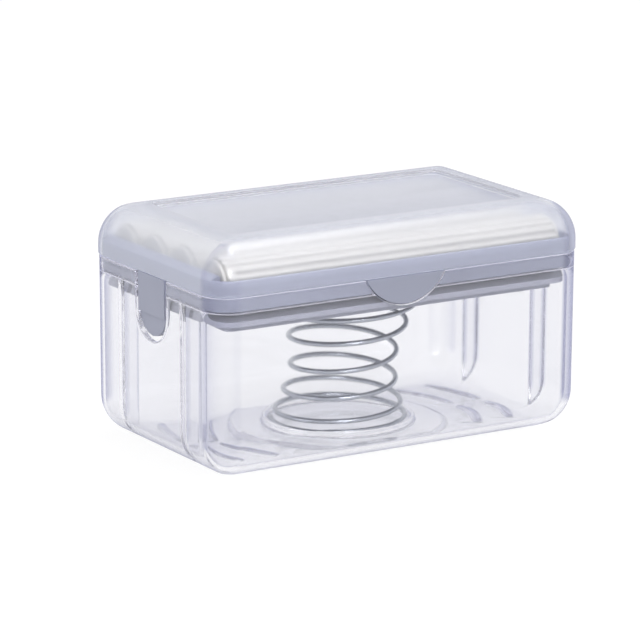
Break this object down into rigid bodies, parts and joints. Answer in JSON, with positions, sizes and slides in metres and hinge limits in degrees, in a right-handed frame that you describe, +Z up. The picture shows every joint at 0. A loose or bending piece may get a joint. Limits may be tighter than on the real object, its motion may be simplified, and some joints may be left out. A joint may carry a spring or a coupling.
{
  "type": "draining soap box",
  "caption": "Clear lidded soap box with ridged foaming rollers in a lift-out frame above a slotted soap plate on a waisted spring.",
  "frame": {"origin": "middle of the tub's flat base, on the surface that it stands on", "axes": "+X along the box and its rollers, +Y from the front with the round flap to the back, +Z up"},
  "size_m": [0.122, 0.072, 0.067],
  "materials": {
    "clear_tub": "clear, polished",
    "clear_lid": "clear, polished",
    "frame_grey": "bluish grey, satin",
    "roller_ivory": "ivory white, satin",
    "plate_grey": "bluish grey, satin",
    "spring_steel": "drawn wire, bright"
  },
  "bodies": {
    "tub_body": {"tub": "clear_tub", "spring": "spring_steel"},
    "frame_body": {"roller_frame": "frame_grey"},
    "lid_body": {"lid": "clear_lid"},
    "roller_1_body": {"roller_1": "roller_ivory", "roller_1_plug_left": "roller_ivory", "roller_1_plug_right": "roller_ivory"},
    "roller_2_body": {"roller_2": "roller_ivory", "roller_2_plug_left": "roller_ivory", "roller_2_plug_right": "roller_ivory"},
    "roller_3_body": {"roller_3": "roller_ivory", "roller_3_plug_left": "roller_ivory", "roller_3_plug_right": "roller_ivory"},
    "roller_4_body": {"roller_4": "roller_ivory", "roller_4_plug_left": "roller_ivory", "roller_4_plug_right": "roller_ivory"},
    "plate_body": {"soap_plate": "plate_grey"}
  },
  "joints": [
    {"name": "frame_lift", "type": "slide", "parent": "tub_body", "child": "frame_body", "axis": [0, 0, 1], "range_m": [0, 0.04]},
    {"name": "lid_lift", "type": "slide", "parent": "frame_body", "child": "lid_body", "axis": [0, 0, 1], "range_m": [0, 0.03]},
    {"name": "roller_1_spin", "type": "hinge", "parent": "frame_body", "child": "roller_1_body", "pos_m": [0, -0.024, 0.054], "axis": [1, 0, 0], "continuous": true},
    {"name": "roller_2_spin", "type": "hinge", "parent": "frame_body", "child": "roller_2_body", "pos_m": [0, -0.008, 0.054], "axis": [1, 0, 0], "continuous": true},
    {"name": "roller_3_spin", "type": "hinge", "parent": "frame_body", "child": "roller_3_body", "pos_m": [0, 0.008, 0.054], "axis": [1, 0, 0], "continuous": true},
    {"name": "roller_4_spin", "type": "hinge", "parent": "frame_body", "child": "roller_4_body", "pos_m": [0, 0.024, 0.054], "axis": [1, 0, 0], "continuous": true},
    {"name": "plate_press", "type": "slide", "parent": "tub_body", "child": "plate_body", "axis": [0, 0, -1], "range_m": [0, 0.028], "stiffness_N_per_m": 190, "springref_m": -0.02, "deforming": ["spring"]}
  ]
}
